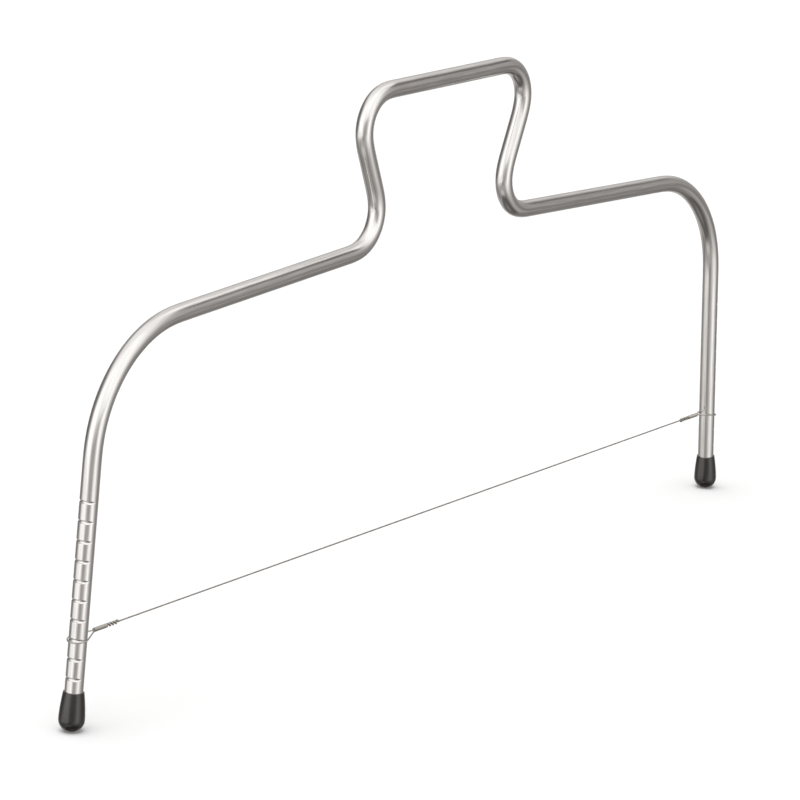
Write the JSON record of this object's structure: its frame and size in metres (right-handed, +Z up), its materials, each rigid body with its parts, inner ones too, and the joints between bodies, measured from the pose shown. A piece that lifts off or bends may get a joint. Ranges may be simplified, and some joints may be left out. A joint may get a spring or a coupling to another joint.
{
  "type": "cake leveler",
  "caption": "Bent steel rod frame with a raised handle, notched legs on rubber end caps and a thin cutting wire that hooks round both legs at a chosen height.",
  "frame": {"origin": "on the floor, midway between the two feet, in the plane of the frame", "axes": "+X from the left leg to the right leg along the cutting wire, +Y away from the viewer of the front, square to the frame's plane, +Z up"},
  "size_m": [0.323, 0.007, 0.1575],
  "materials": {
    "rod_steel": "polished with fine lengthwise drawing lines",
    "wire_steel": "bright drawn wire",
    "black_rubber": "satin moulded rubber"
  },
  "bodies": {
    "frame": {"frame": "rod_steel", "left_foot": "black_rubber", "right_foot": "black_rubber"},
    "wire": {"cutting_wire": "wire_steel"},
    "left_loop": {"left_wire_loop": "wire_steel"},
    "right_loop": {"right_wire_loop": "wire_steel"}
  },
  "joints": [
    {"name": "wire_height", "type": "slide", "parent": "frame", "child": "wire", "axis": [0, 0, 1], "range_m": [-0.0106, 0.0371]},
    {"name": "left_loop_climb", "type": "slide", "parent": "frame", "child": "left_loop", "axis": [0.0785, 0, 0.9969], "range_m": [-0.01064, 0.03722]},
    {"name": "right_loop_climb", "type": "slide", "parent": "frame", "child": "right_loop", "axis": [-0.0785, 0, 0.9969], "range_m": [-0.01064, 0.03722]}
  ],
  "couplings": [
    {"joint": "left_loop_climb", "follows": "wire_height", "ratio": 1.0031},
    {"joint": "right_loop_climb", "follows": "wire_height", "ratio": 1.0031}
  ]
}
